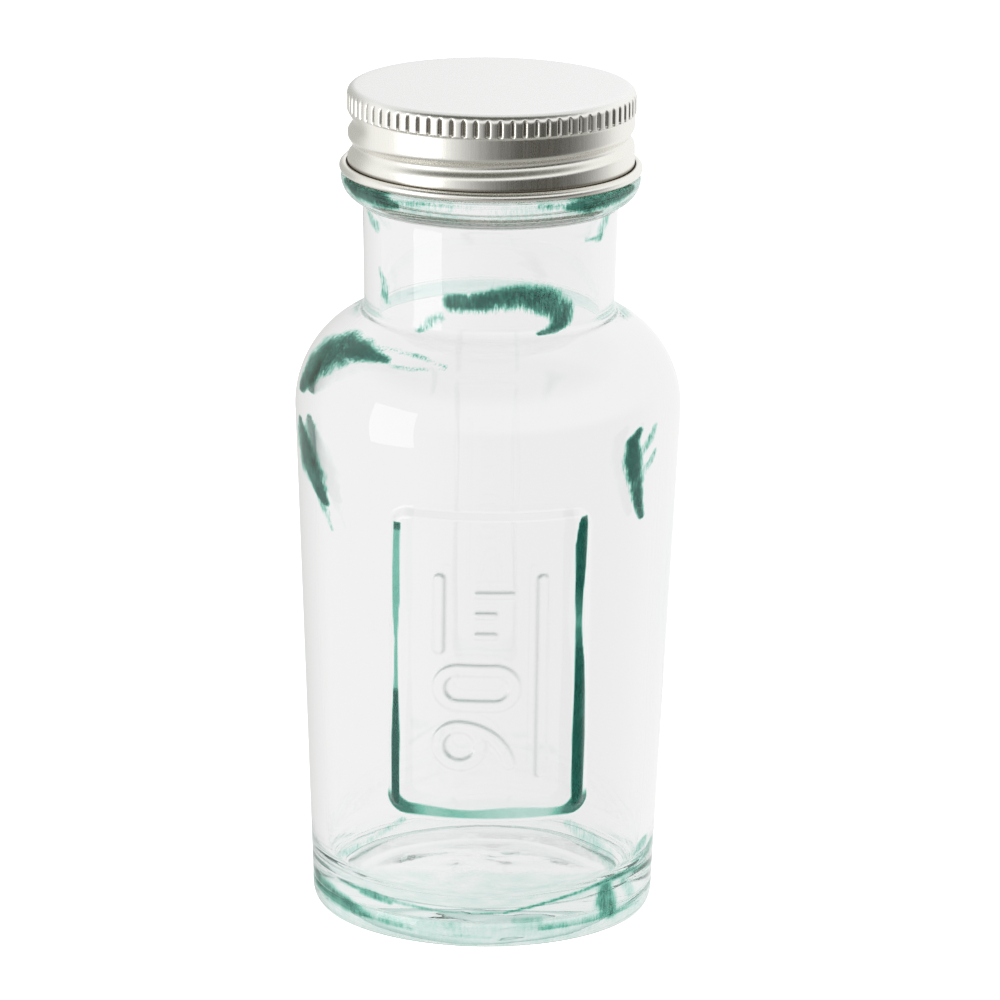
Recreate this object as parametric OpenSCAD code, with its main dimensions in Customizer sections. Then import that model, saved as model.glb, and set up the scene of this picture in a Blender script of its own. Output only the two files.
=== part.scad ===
/* [Glass body] */
// Outer radius of the wall where it leaves the heel
base_r = 29.2; // [27:0.1:31]
// Outer radius of the body at its widest, under the shoulder
body_r = 32.8; // [31.5:0.1:36]
// Height at which the body is widest
body_z = 88; // [84:0.5:110]
// Radius of the round that forms the shoulder
shoulder_round = 18; // [15:0.1:20]
// Thickness of the glass in the wall and shoulder
wall_t = 2.8; // [2:0.1:3.6]
// Thickness of the glass floor above the hollow in the base
floor_t = 5.5; // [4:0.1:9]
// Radius of the round where the inside of the wall meets the floor
floor_round = 8; // [4:0.5:11]
// How much higher the middle of the floor is than its edge
floor_rise = 1.5; // [0.2:0.1:3]
// Height of the hollow pressed up into the base
push_up = 1.6; // [0.5:0.1:3]
// Width of the flat ring that the jar stands on
foot_w = 3.4; // [2:0.1:6]
// How far the heel turns in at the bottom
heel_in = 1.4; // [0.5:0.1:3]
// Height of the heel's turn
heel_h = 3; // [1:0.1:5]
// Depth of the fine line where the base plate of the mould met its sides
seam_d = 0.15; // [0.05:0.05:0.3]

/* [Neck] */
// Outer radius of the neck where it meets the shoulder
neck_r = 21.2; // [20:0.1:22]
// Outer radius of the neck where it meets the bead
neck_top_r = 21.6; // [21:0.1:22.2]
// Length of the plain neck, from the shoulder to the bead
neck_h = 18.7; // [10:0.1:30]
// Thickness of the glass in the neck
neck_t = 2.5; // [2:0.1:3]
// Radius of the round inside, where the neck opens into the shoulder
neck_round = 4; // [2:0.5:5]
// Outer radius of the bead under the lid
bead_r = 25.3; // [24.5:0.1:26]
// Height of the bead
bead_h = 4.6; // [4.4:0.1:6]
// Radius of the bead's upper edge
bead_edge = 0.5; // [0.2:0.1:0.8]

/* [Mouth] */
// Radius of the bore of the mouth
mouth_r = 19; // [18.9:0.1:19.6]
// Outer radius of the mouth between its threads
finish_r = 22.4; // [22:0.1:22.8]
// Height of the mouth above the bead
finish_h = 13.7; // [13:0.1:16]
// Radius of the round on the two edges of the lip
lip_round = 0.9; // [0.4:0.1:1.2]
// Rise of the thread in one full turn, the standard six turns to the inch
thread_pitch = 4.233; // [4.1:0.001:4.5]
// How far the glass thread stands out from the mouth
thread_out = 1.2; // [0.9:0.05:1.4]
// Width of the glass thread at its foot
thread_w = 2.4; // [1.8:0.1:2.6]
// Width of the glass thread at its crest
thread_crest_w = 1; // [0.6:0.1:1.4]
// Length of the glass thread in turns
thread_turns = 1.15; // [1:0.05:1.4]

/* [Lid] */
// Thickness of the lid's sheet metal
sheet_t = 0.25; // [0.2:0.01:0.35]
// Play between the crest of the glass thread and the inside of the skirt
skirt_gap = 0.35; // [0.25:0.05:0.6]
// Height of the skirt, from the top of the lid to the bottom of its curl
lid_h = 14.6; // [14.2:0.1:14.8]
// Radius of the round between the top and the side
lid_round = 1.5; // [1:0.1:1.8]
// Outer diameter of the curl rolled at the bottom of the skirt
curl_d = 1.64; // [1.2:0.02:2]
// Gap between the edge of the curl and the skirt
curl_gap = 0.16; // [0.1:0.01:0.3]
// How far the knurled band stands out from the skirt
knurl_out = 0.2; // [0.1:0.05:0.3]
// Number of grooves round the knurled band
knurl_count = 75; // [60:1:80]
// Depth of each knurl groove
knurl_d = 0.45; // [0.3:0.05:0.5]
// Radius of each knurl groove's round floor
knurl_round = 0.5; // [0.4:0.05:0.55]
// Height of the knurled band below the top of the lid
knurl_h = 3.9; // [3.4:0.1:4.1]
// Depth of the thread groove rolled into the skirt
groove_d = 0.85; // [0.6:0.05:0.9]
// Width of the thread groove
groove_w = 3.7; // [3.2:0.1:3.8]
// Length of the thread groove in turns
groove_turns = 1.3; // [1:0.05:1.35]
// Height of the thread groove's middle above the bottom of the lid, at its low end
groove_low = 3.5; // [3.4:0.1:3.7]
// Direction in which the thread groove's low end lies, in degrees from +X
groove_start_deg = 110; // [0:5:360]

/* [Liner] */
// Thickness of the sealing disc inside the lid
liner_t = 1; // [0.6:0.1:1.4]
// Play round the sealing disc
liner_gap = 0.15; // [0.1:0.05:0.5]

/* [Raised panel] */
// Width of the panel at its foot
panel_w = 33.7; // [26:0.1:38]
// Height of the panel at its foot
panel_h = 54.3; // [48:0.1:60]
// Height of the panel's middle above the base
panel_z = 50.4; // [44:0.1:52]
// How far the panel is turned from the front, in degrees
panel_turn_deg = 1.6; // [-10:0.1:10]
// How far the panel stands out from the wall
panel_out = 1.25; // [0.6:0.05:1.6]
// How much narrower the panel's face is than its foot, on each side
panel_draft = 1.4; // [0.6:0.1:2]
// Radius of the panel's corners
panel_corner = 3.2; // [2.2:0.1:5]
// How far the figures and bars stand out from the panel
mark_out = 0.45; // [0.2:0.05:0.7]
// Width of the stroke of the figures
stroke_w = 2.35; // [1.6:0.05:2.8]
// Height of the figures, which lie on their side
figure_h = 14.5; // [12:0.1:15]
// Width of the nought
nought_w = 8.6; // [6:0.1:9]
// Outer radius of the nine's bowl
bowl_r = 4.55; // [3.6:0.05:4.8]
// Radius of the nine's tail, along the middle of its stroke
tail_r = 8.2; // [7:0.1:9]
// Angle that the nine's tail sweeps, in degrees
tail_deg = 78; // [50:1:85]
// Space between the figures, and between them and the short bar
figure_gap = 1.4; // [1:0.1:2]
// Distance of the two bars' middles from the panel's middle
bar_x = 8.3; // [7:0.1:10]
// Width of the two bars beside the figures
bar_w = 2.1; // [1.4:0.1:2.6]
// Length of the long bar
long_bar_l = 36.2; // [30:0.1:40]
// Length of the short bar
short_bar_l = 14.3; // [8:0.1:15]
// Space from the panel's upper foot line down to the bars' ends
bar_drop = 10.5; // [7:0.1:12]
// Length of the longest of the three small ticks
tick_l = 6.9; // [4:0.1:7]
// Width of each tick
tick_w = 1.5; // [1:0.1:1.8]
// Distance from one tick to the next
tick_step = 3.6; // [2.4:0.1:3.8]
// Distance of the ticks' left ends from the left edge of the figures
tick_in = 6.5; // [4:0.1:8]

/* [Hidden] */
$fn = 96;

// Overrun of every cut past the surface that it leaves
over = 0.5;
// Steps of each large and each small computed round
round_steps = 14;
edge_steps = 5;
// Degrees between two rings of a thread, and over which each of its ends fades
thread_step_deg = 10;
fade_deg = 36;
// Share of the full depth that the ends of a thread keep
fade_share = 0.12;
// Points across the thread groove
wave_steps = 6;
// Lengths of the three ticks, as shares of the longest
tick_shares = [1, 0.6, 0.6];
// How far the nine's tail lies within the bowl's stroke, and the angle by which it starts inside it
tail_tuck = 0.1;
tail_root_deg = 5;

// The body's lines
taper_deg = atan((body_r - base_r) / (body_z - heel_h));
shoulder_r0 = body_r - shoulder_round;
inner_round = shoulder_round - wall_t;
neck_deg = acos((neck_r - shoulder_r0) / shoulder_round);
neck_z = body_z + shoulder_round * sin(neck_deg);
bead_z = neck_z + neck_h;
bead_top_z = bead_z + bead_h;
bead_round = bead_h - bead_edge;
bead_r0 = bead_r - bead_round;
bead_deg = acos(max(0, neck_top_r - bead_r0) / bead_round);
rim_z = bead_top_z + finish_h;
foot_r = base_r - heel_in;
hollow_r = foot_r - foot_w;
seam_z = heel_h + heel_in;

// The inside of the glass
bore_r = neck_r - neck_t;
throat_r = bore_r + neck_round;
throat_z = body_z + sqrt(pow(inner_round + neck_round, 2) - pow(throat_r - shoulder_r0, 2));
throat_deg = atan2(throat_z - body_z, throat_r - shoulder_r0);
floor_z = push_up + floor_t;
floor_edge_z = floor_z - floor_rise;
corner_z = floor_edge_z + floor_round;
corner_r = wall_r(corner_z) - wall_t - floor_round;

// The root of the glass thread, sunk in the glass
thread_root = thread_out / 2;
thread_root_w = thread_w + (thread_w - thread_crest_w) * thread_root / thread_out;

// The lid, set on the rim with the liner between them
thread_r = finish_r + thread_out;
skirt_in_r = thread_r + skirt_gap;
skirt_r = skirt_in_r + sheet_t;
knurl_r = skirt_r + knurl_out;
edge_r = knurl_r - lid_round;
liner_r = edge_r - liner_gap;
lid_z = rim_z + liner_t + sheet_t;
lid_low_z = lid_z - lid_h;
knurl_z = lid_z - knurl_h;
curl_r = curl_d / 2;
curl_z = lid_low_z + curl_r;
curl_mid_r = skirt_in_r + curl_r;
curl_end_deg = 360 + acos((skirt_r + curl_gap - curl_mid_r) / curl_r);
knurl_mid_r = knurl_r - knurl_d + knurl_round;

// The lid's groove and the glass thread lie half a pitch apart, so that the lid turns freely
groove_z = lid_low_z + groove_low;
ridge_z = groove_z + thread_pitch / 2;

// The panel's lines: its foot and face at its middle height, and the lean of its sides
panel_low = panel_z - panel_h / 2;
panel_top = panel_z + panel_h / 2;
panel_foot_y = sqrt(pow(wall_r(panel_z), 2) - pow(panel_w / 2, 2));
panel_face_y = sqrt(pow(wall_r(panel_z) + panel_out, 2) - pow(panel_w / 2 - panel_draft, 2));
panel_lean_deg = atan(tan(taper_deg) * wall_r(panel_z) / panel_foot_y);

// The marks' lines, from the top down
bars_top = panel_top - bar_drop;
marks_left = -bar_x - bar_w / 2;
nought_z = bars_top - short_bar_l - figure_gap - nought_w / 2;
bowl_z = nought_z - nought_w / 2 - figure_gap - bowl_r;

// Outer radius of the tapered wall at a height
function wall_r(z) = base_r + (z - heel_h) * tan(taper_deg);

// Points of an arc round [r, z], with its two radii the same or different
function arc(r, z, rr, rz, from, to, steps = edge_steps) =
    [for (i = [0 : steps]) let (a = from + (to - from) * i / steps) [r + rr * cos(a), z + rz * sin(a)]];

// Points of a smooth rise along the radius, from a height at the axis to one at the end
function swell(end_r, mid_z, end_z, steps = edge_steps) =
    [for (i = [0 : steps]) [end_r * i / steps, end_z + (mid_z - end_z) * (1 + cos(180 * i / steps)) / 2]];

// Share of its full depth that a thread has at an angle along it
function fade(a, all) = max(fade_share, min(1, a / fade_deg, (all - a) / fade_deg));

// Section of the glass thread, with its root sunk in the glass
function ridge_section(k) = [
    [finish_r - thread_root, -thread_root_w / 2],
    [finish_r - thread_root, thread_root_w / 2],
    [finish_r + k * thread_out, thread_crest_w / 2],
    [finish_r + k * thread_out, -thread_crest_w / 2]
];

// Section of the rolled groove: a wave on one face of the sheet, closed at a radius behind it
function wave_section(k, face_r, back_r) = let (lip = sheet_t / 4) concat(
    [for (i = [0 : wave_steps])
        let (s = 2 * i / wave_steps - 1)
        [face_r + lip - (lip + k * groove_d) * (1 + cos(180 * s)) / 2, s * groove_w / 2]],
    [[back_r, groove_w / 2], [back_r, -groove_w / 2]]
);

// One ring of a swept thread, at an angle and a height
function ring(section, a, z) = [for (p = section) [p[0] * cos(a), p[0] * sin(a), z + p[1]]];

// A solid skinned over a list of rings that have equally many points
module skin(rings) {
    n = len(rings[0]);
    last = len(rings) - 1;
    points = [for (one = rings) each one];
    sides = [for (i = [0 : last - 1]) for (j = [0 : n - 1])
        let (a = i * n + j, b = i * n + (j + 1) % n)
        each [[a, a + n, b], [b, a + n, b + n]]];
    caps = [[for (j = [0 : n - 1]) j], [for (j = [n - 1 : -1 : 0]) last * n + j]];
    polyhedron(points, concat(sides, caps), convexity = 6);
}

// A bar with round ends along the first axis, centred
module bar2d(l, w) {
    square([l - w, w], center = true);
    for (s = [-1, 1])
        translate([s * (l - w) / 2, 0])
            circle(d = w);
}

// A rectangle with round corners, centred
module plate2d(w, h, r) {
    square([w - 2 * r, h], center = true);
    square([w, h - 2 * r], center = true);
    for (x = [-1, 1], y = [-1, 1])
        translate([x * (w / 2 - r), y * (h / 2 - r)])
            circle(r);
}

// The nought, lying on its side
module nought2d() {
    difference() {
        bar2d(figure_h, nought_w);
        bar2d(figure_h - 2 * stroke_w, nought_w - 2 * stroke_w);
    }
}

// The nine, lying on its side, with its bowl round the origin
module nine2d() {
    difference() {
        circle(bowl_r);
        circle(bowl_r - stroke_w);
    }
    tail_w = stroke_w - 2 * tail_tuck;
    reach = 2 * tail_r;
    translate([0, bowl_r - stroke_w / 2 - tail_r]) {
        intersection() {
            difference() {
                circle(tail_r + tail_w / 2);
                circle(tail_r - tail_w / 2);
            }
            polygon(concat([[0, 0]],
                [for (a = [-tail_root_deg, tail_deg / 2, tail_deg]) [reach * sin(a), reach * cos(a)]]));
        }
        translate([tail_r * sin(tail_deg), tail_r * cos(tail_deg)])
            circle(d = stroke_w);
    }
}

// All that stands out from the panel: two figures, two bars and three ticks
module marks2d() {
    translate([marks_left + figure_h / 2, nought_z])
        nought2d();
    translate([marks_left + bowl_r, bowl_z])
        nine2d();
    for (one = [[bar_x, long_bar_l], [-bar_x, short_bar_l]])
        translate([one[0], bars_top - one[1] / 2])
            rotate(90)
                bar2d(one[1], bar_w);
    for (i = [0 : len(tick_shares) - 1])
        translate([marks_left + tick_in + tick_l * tick_shares[i] / 2, bars_top - (i + 1) * tick_step])
            bar2d(tick_l * tick_shares[i], tick_w);
}

// Draws a flat outline straight out to the front, as the mould opened
module drawn_forward() {
    rotate([90, 0, 0])
        linear_extrude(2 * body_r)
            children();
}

// The raised panel: a band round the body, cut to the panel's outline and leaning sides
module panel() {
    intersection() {
        rotate_extrude()
            polygon([
                [wall_r(panel_low) - wall_t / 2, panel_low],
                [wall_r(panel_low), panel_low],
                [wall_r(panel_low + panel_draft) + panel_out, panel_low + panel_draft],
                [wall_r(panel_top - panel_draft) + panel_out, panel_top - panel_draft],
                [wall_r(panel_top), panel_top],
                [wall_r(panel_top) - wall_t / 2, panel_top]
            ]);
        drawn_forward()
            translate([0, panel_z])
                plate2d(panel_w, panel_h, panel_corner);
        side = [panel_draft, panel_face_y - panel_foot_y];
        translate([0, 0, panel_z])
            rotate([panel_lean_deg, 0, 0])
                translate([0, 0, -panel_h])
                    linear_extrude(2 * panel_h)
                        polygon([for (p = [[-1, -2], [1, -2], [1, 3], [-1, 3]])
                            [p[0] * (panel_w / 2 - p[1] * side[0]), -panel_foot_y - p[1] * side[1]]]);
    }
}

// The marks, drawn forward and ended a little above the panel's face
module marks() {
    face = panel_out + mark_out;
    intersection() {
        rotate_extrude()
            polygon([
                [wall_r(panel_low), panel_low],
                [wall_r(panel_low) + face, panel_low],
                [wall_r(panel_top) + face, panel_top],
                [wall_r(panel_top), panel_top]
            ]);
        drawn_forward()
            marks2d();
    }
}

// The outside of the glass, from the hollow in the base round to the lip, filled to the axis
module glass_outside() {
    rotate_extrude()
        polygon(concat(
            swell(hollow_r, push_up, 0),
            arc(foot_r, heel_h, heel_in, heel_h, -90, 0),
            [
                [wall_r(seam_z), seam_z],
                [wall_r(seam_z) - seam_d, seam_z + seam_d],
                [wall_r(seam_z + 2 * seam_d), seam_z + 2 * seam_d]
            ],
            arc(shoulder_r0, body_z, shoulder_round, shoulder_round, -taper_deg, neck_deg, round_steps),
            arc(bead_r0, bead_z + bead_round, bead_round, bead_round, -bead_deg, 0),
            arc(bead_r - bead_edge, bead_top_z - bead_edge, bead_edge, bead_edge, 0, 90),
            [[finish_r, bead_top_z]],
            arc(finish_r - lip_round, rim_z - lip_round, lip_round, lip_round, 0, 90),
            [[0, rim_z]]
        ));
}

// The room inside the glass, open at the mouth
module glass_inside() {
    rotate_extrude()
        polygon(concat(
            swell(corner_r, floor_z, floor_edge_z),
            arc(corner_r, corner_z, floor_round, floor_round, -90, -taper_deg, round_steps),
            arc(shoulder_r0, body_z, inner_round, inner_round, -taper_deg, throat_deg, round_steps),
            arc(throat_r, throat_z, neck_round, neck_round, 180 + throat_deg, 180),
            [
                [bore_r, bead_z],
                [mouth_r, bead_z + abs(mouth_r - bore_r)]
            ],
            arc(mouth_r + lip_round, rim_z - lip_round, lip_round, lip_round, 180, 90),
            [
                [mouth_r + lip_round, rim_z + over],
                [0, rim_z + over]
            ]
        ));
}

// The thread round the mouth, which fades at both ends
module glass_thread() {
    all = thread_turns * 360;
    steps = round(all / thread_step_deg);
    skin([for (i = [0 : steps])
        let (a = all * i / steps)
        ring(ridge_section(fade(a, all)), groove_start_deg + a, ridge_z + thread_pitch * a / 360)]);
}

module jar() {
    color("#bfe3da", 0.6)
        difference() {
            union() {
                glass_outside();
                glass_thread();
                rotate([0, 0, panel_turn_deg]) {
                    panel();
                    marks();
                }
            }
            glass_inside();
        }
}

// The lid's sheet before it is knurled and threaded: top, round, skirt and curl in one line
module lid_sheet() {
    rotate_extrude()
        polygon(concat(
            [[0, lid_z]],
            arc(edge_r, lid_z - lid_round, lid_round, lid_round, 90, 0),
            [
                [knurl_r, knurl_z],
                [skirt_r, knurl_z - knurl_out]
            ],
            arc(curl_mid_r, curl_z, curl_r - sheet_t, curl_r - sheet_t, 180, curl_end_deg, round_steps),
            arc(curl_mid_r, curl_z, curl_r, curl_r, curl_end_deg, 180, round_steps),
            [
                [skirt_in_r, knurl_z - knurl_out],
                [knurl_r - sheet_t, knurl_z]
            ],
            arc(edge_r, lid_z - lid_round, lid_round - sheet_t, lid_round - sheet_t, 0, 90),
            [[0, lid_z - sheet_t]]
        ));
}

// Round bars side by side along the knurled band: thin ones cut grooves, thick ones back them
module knurl_bars(r, low_z) {
    translate([0, 0, low_z])
        linear_extrude(lid_z - low_z)
            for (i = [1 : knurl_count])
                rotate(i * 360 / knurl_count)
                    translate([knurl_mid_r, 0])
                        circle(r, $fn = 24);
}

// The ribs that the knurling raises on the inside of the sheet
module knurl_ribs() {
    low_z = knurl_z - sheet_t;
    intersection() {
        knurl_bars(knurl_round + sheet_t, low_z);
        rotate_extrude()
            polygon(concat(
                [
                    [0, low_z],
                    [skirt_r - sheet_t / 2, low_z],
                    [knurl_r - sheet_t / 2, knurl_z]
                ],
                arc(edge_r, lid_z - lid_round, lid_round - sheet_t / 2, lid_round - sheet_t / 2, 0, 90),
                [[0, lid_z - sheet_t / 2]]
            ));
    }
}

// The rolled thread, drawn on one face of the sheet
module lid_thread(face_r, back_r) {
    all = groove_turns * 360;
    steps = round(all / thread_step_deg);
    skin([for (i = [0 : steps])
        let (a = all * i / steps)
        ring(wave_section(fade(a, all), face_r, back_r), groove_start_deg + a, groove_z + thread_pitch * a / 360)]);
}

module lid() {
    color("#c9c6c0")
        difference() {
            union() {
                lid_sheet();
                knurl_ribs();
                lid_thread(skirt_in_r, skirt_in_r + sheet_t / 2);
            }
            knurl_bars(knurl_round, knurl_z);
            lid_thread(skirt_r, skirt_r + over);
        }
}

module liner() {
    color("#f2f0ea")
        translate([0, 0, rim_z])
            cylinder(h = liner_t, r = liner_r);
}

jar();
lid();
liner();
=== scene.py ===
import math

import bpy
import numpy as np
from mathutils import Matrix, Vector


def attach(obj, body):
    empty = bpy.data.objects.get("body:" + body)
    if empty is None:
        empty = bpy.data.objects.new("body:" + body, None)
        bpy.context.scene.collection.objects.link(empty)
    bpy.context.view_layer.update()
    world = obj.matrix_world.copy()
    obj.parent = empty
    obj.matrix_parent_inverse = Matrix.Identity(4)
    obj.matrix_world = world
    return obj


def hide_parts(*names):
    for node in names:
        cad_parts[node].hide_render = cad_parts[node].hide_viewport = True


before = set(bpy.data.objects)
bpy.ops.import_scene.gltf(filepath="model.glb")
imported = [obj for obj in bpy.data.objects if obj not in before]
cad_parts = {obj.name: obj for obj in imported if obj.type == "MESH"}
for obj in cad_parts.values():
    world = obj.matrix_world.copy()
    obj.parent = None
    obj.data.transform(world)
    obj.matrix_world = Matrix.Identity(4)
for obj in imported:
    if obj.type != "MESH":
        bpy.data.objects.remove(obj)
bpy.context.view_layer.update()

# Lengths are in millimetres until a mesh is made
MM = 0.001

# Camera: distance and height in metres, focal length in pixels of a 1000 pixel frame, angles in degrees
CAM_BACK, CAM_UP = 1.1362, 0.3852
CAM_FOCAL_PX, FRAME_PX, SENSOR_MM = 6909.1, 1000.0, 36.0
CAM_PITCH, CAM_YAW, CAM_ROLL = 15.465, 0.1133, 0.75

# Glass body
BASE_R, BODY_R, BODY_Z = 29.2, 32.8, 88.0
SHOULDER_ROUND, WALL_T, FLOOR_T = 18.0, 2.8, 5.5
FLOOR_ROUND, FLOOR_RISE, PUSH_UP = 6.0, 1.5, 1.6
FOOT_W, HEEL_IN, HEEL_H, SEAM_D = 3.4, 1.4, 3.0, 0.15

# Neck and mouth
NECK_R, NECK_TOP_R, NECK_H, NECK_T, NECK_ROUND = 21.2, 21.6, 18.7, 2.5, 2.2
BEAD_R, BEAD_H, BEAD_EDGE = 25.3, 4.6, 0.5
MOUTH_R, FINISH_R, FINISH_H, LIP_ROUND = 19.0, 22.4, 13.7, 0.9
THREAD_PITCH, THREAD_OUT, THREAD_W, THREAD_TURNS = 4.233, 1.2, 2.4, 1.15

# Degrees over which a thread fades in and out at its ends
THREAD_FADE = 36.0

# Lid and liner
SHEET_T, SKIRT_GAP, LID_H, LID_ROUND = 0.25, 0.35, 14.6, 1.5
CURL_D, CURL_GAP = 1.64, 0.16
KNURL_OUT, KNURL_COUNT, KNURL_D, KNURL_H = 0.2, 75, 0.45, 3.9
GROOVE_D, GROOVE_W, GROOVE_TURNS = 0.85, 3.7, 1.3
GROOVE_LOW, GROOVE_START = 3.5, 110.0
LINER_T = 1.0

# Raised panel and its marks
PANEL_W, PANEL_H, PANEL_Z, PANEL_TURN = 33.7, 54.3, 50.4, 1.6
PANEL_OUT, PANEL_CORNER = 1.25, 3.2
MARK_OUT, STROKE_W, FIGURE_H = 0.45, 2.35, 14.5
NOUGHT_W, BOWL_R, TAIL_R, TAIL_DEG, FIGURE_GAP = 8.6, 4.55, 8.2, 78.0, 1.4
BAR_X, BAR_W, LONG_BAR, SHORT_BAR, BAR_DROP = 8.3, 2.1, 36.2, 14.3, 10.5
TICK_L, TICK_W, TICK_STEP, TICK_IN = 6.9, 1.5, 3.6, 6.5
TICK_SHARES = (1.0, 0.6, 0.6)

# Derived lines of the glass
TAPER = math.atan((BODY_R - BASE_R) / (BODY_Z - HEEL_H))
SHOULDER_R0 = BODY_R - SHOULDER_ROUND
INNER_ROUND = SHOULDER_ROUND - WALL_T
NECK_DEG = math.degrees(math.acos((NECK_R - SHOULDER_R0) / SHOULDER_ROUND))
NECK_Z = BODY_Z + SHOULDER_ROUND * math.sin(math.radians(NECK_DEG))
BEAD_Z = NECK_Z + NECK_H
BEAD_TOP = BEAD_Z + BEAD_H
BEAD_ROUND = BEAD_H - BEAD_EDGE
RIM_Z = BEAD_TOP + FINISH_H
FOOT_R = BASE_R - HEEL_IN
HOLLOW_R = FOOT_R - FOOT_W
SEAM_Z = HEEL_H + HEEL_IN
BORE_R = NECK_R - NECK_T
THROAT_R = BORE_R + NECK_ROUND
THROAT_Z = BODY_Z + math.sqrt((INNER_ROUND + NECK_ROUND) ** 2 - (THROAT_R - SHOULDER_R0) ** 2)
THROAT_DEG = math.degrees(math.atan2(THROAT_Z - BODY_Z, THROAT_R - SHOULDER_R0))

# Derived lines of the lid
SKIRT_IN = FINISH_R + THREAD_OUT + SKIRT_GAP
SKIRT_R = SKIRT_IN + SHEET_T
KNURL_R = SKIRT_R + KNURL_OUT
EDGE_R = KNURL_R - LID_ROUND
LID_Z = RIM_Z + LINER_T + SHEET_T
LID_LOW = LID_Z - LID_H
KNURL_Z = LID_Z - KNURL_H
CURL_R = CURL_D / 2
CURL_Z = LID_LOW + CURL_R
CURL_MID = SKIRT_IN + CURL_R
CURL_END = 360 + math.degrees(math.acos((SKIRT_R + CURL_GAP - CURL_MID) / CURL_R))
GROOVE_Z = LID_LOW + GROOVE_LOW
RIDGE_Z = GROOVE_Z + THREAD_PITCH / 2


def wall_r(z):
    """Outer radius of the tapered wall at a height."""
    return BASE_R + (z - HEEL_H) * math.tan(TAPER)


FLOOR_Z = PUSH_UP + FLOOR_T
FLOOR_EDGE = FLOOR_Z - FLOOR_RISE
CORNER_Z = FLOOR_EDGE + FLOOR_ROUND
CORNER_R = wall_r(CORNER_Z) - WALL_T - FLOOR_ROUND


def smooth(x):
    """A smooth step from 0 to 1."""
    x = np.clip(x, 0.0, 1.0)
    return x * x * x * (x * (6 * x - 15) + 10)


def arc(r, z, rr, rz, start, end, steps):
    """Points of an arc round (r, z), from one angle to another, in degrees."""
    a = np.radians(np.linspace(start, end, steps + 1))
    return [(r + rr * math.cos(t), z + rz * math.sin(t)) for t in a]


def line(a, b, step):
    """Points of a straight line, without its ends."""
    n = max(1, int(round(math.dist(a, b) / step)))
    return [(a[0] + (b[0] - a[0]) * i / n, a[1] + (b[1] - a[1]) * i / n) for i in range(1, n)]


def swell(end_r, mid_z, end_z, steps):
    """Points of a smooth rise from the axis outward."""
    return [(end_r * i / steps, end_z + (mid_z - end_z) * (1 + math.cos(math.pi * i / steps)) / 2)
            for i in range(steps + 1)]


def filleted(points, corner, radius, steps=8):
    """The points with a round in place of those closer than a radius to one of them, the corner."""
    near = [math.dist(p, points[corner]) < radius for p in points]
    first, last = near.index(True) - 1, len(near) - near[::-1].index(True)
    a, b, c = (np.array(points[i]) for i in (first, corner, last))
    t = np.linspace(0, 1, steps + 1)[1:-1, None]
    curve = a * (1 - t) ** 2 + b * 2 * t * (1 - t) + c * t * t
    return points[:first + 1] + [tuple(x) for x in curve] + points[last:]


def turns(z, theta, low_z, start, count, width):
    """Share, from 0 to 1, of a thread's full height at (z, theta), and its fade at both ends."""
    total = 360.0 * count
    out = np.zeros(np.broadcast(z, theta).shape)
    for lap in range(int(count) + 2):
        a = (np.degrees(theta) - start) % 360 + 360 * lap
        s = (z - low_z - THREAD_PITCH * a / 360) / (width / 2)
        fade = smooth(a / THREAD_FADE) * smooth((total - a) / THREAD_FADE)
        out = np.maximum(out, np.where(np.abs(s) < 1, (1 + np.cos(np.pi * s)) / 2, 0) * fade)
    return out


def shell(name, rows, columns, bend, material, paint=None):
    """A closed piece turned from a profile that starts and ends on the axis; bend moves its points."""
    rows = np.array(rows)
    theta = np.array(columns)
    r, z, t = bend(rows[1:-1, 0][:, None], rows[1:-1, 1][:, None], theta[None, :])
    n_row, n = r.shape
    points = np.stack([r * np.cos(t), r * np.sin(t), z], axis=-1).reshape(-1, 3)
    ends = np.array([[0, 0, rows[0, 1]], [0, 0, rows[-1, 1]]])
    points = np.vstack([points, ends]) * MM
    i = np.arange(n_row - 1)[:, None] * n
    j = np.arange(n)[None, :]
    k = (j + 1) % n
    quads = np.stack([i + j, i + k, i + n + k, i + n + j], axis=-1).reshape(-1, 4)
    first, last = n_row * n, n_row * n + 1
    low = (n_row - 1) * n
    j = np.arange(n)
    k = (j + 1) % n
    caps = [(first, b, a) for a, b in zip(j.tolist(), k.tolist())]
    caps += [(last, low + a, low + b) for a, b in zip(j.tolist(), k.tolist())]
    mesh = bpy.data.meshes.new(name)
    mesh.from_pydata(points.tolist(), [], quads.tolist() + caps)
    mesh.polygons.foreach_set("use_smooth", [True] * len(mesh.polygons))
    mesh.materials.append(material)
    mesh.update()
    for key, values in (paint(rows[1:-1, 0][:, None], z, t) if paint else {}).items():
        layer = mesh.attributes.new(key, "FLOAT", "POINT")
        layer.data.foreach_set("value", np.append(values.ravel(), (0, 0)).astype(np.float32))
    piece = bpy.data.objects.new(name, mesh)
    bpy.context.collection.objects.link(piece)
    return piece


def slab_distance(x, z, w, h, r):
    """Distance to the edge of a rectangle with round corners, negative inside."""
    dx, dz = np.abs(x) - (w / 2 - r), np.abs(z) - (h / 2 - r)
    return np.hypot(np.maximum(dx, 0), np.maximum(dz, 0)) + np.minimum(np.maximum(dx, dz), 0) - r


def ring_distance(x, z, w, h, stroke):
    """Distance to the edge of a stroke that runs along the inside of a long round outline."""
    r = min(w, h) / 2
    return np.abs(slab_distance(x, z, w, h, r) + stroke / 2) - stroke / 2


def tail_distance(x, z):
    """Distance to the edge of the nine's tail, an arc that starts at the bowl's far side."""
    z0 = z - (BOWL_R - STROKE_W / 2 - TAIL_R)
    a = np.arctan2(x, z0)
    a = np.clip(a, 0, math.radians(TAIL_DEG))
    return np.hypot(x - TAIL_R * np.sin(a), z0 - TAIL_R * np.cos(a)) - STROKE_W / 2


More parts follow.
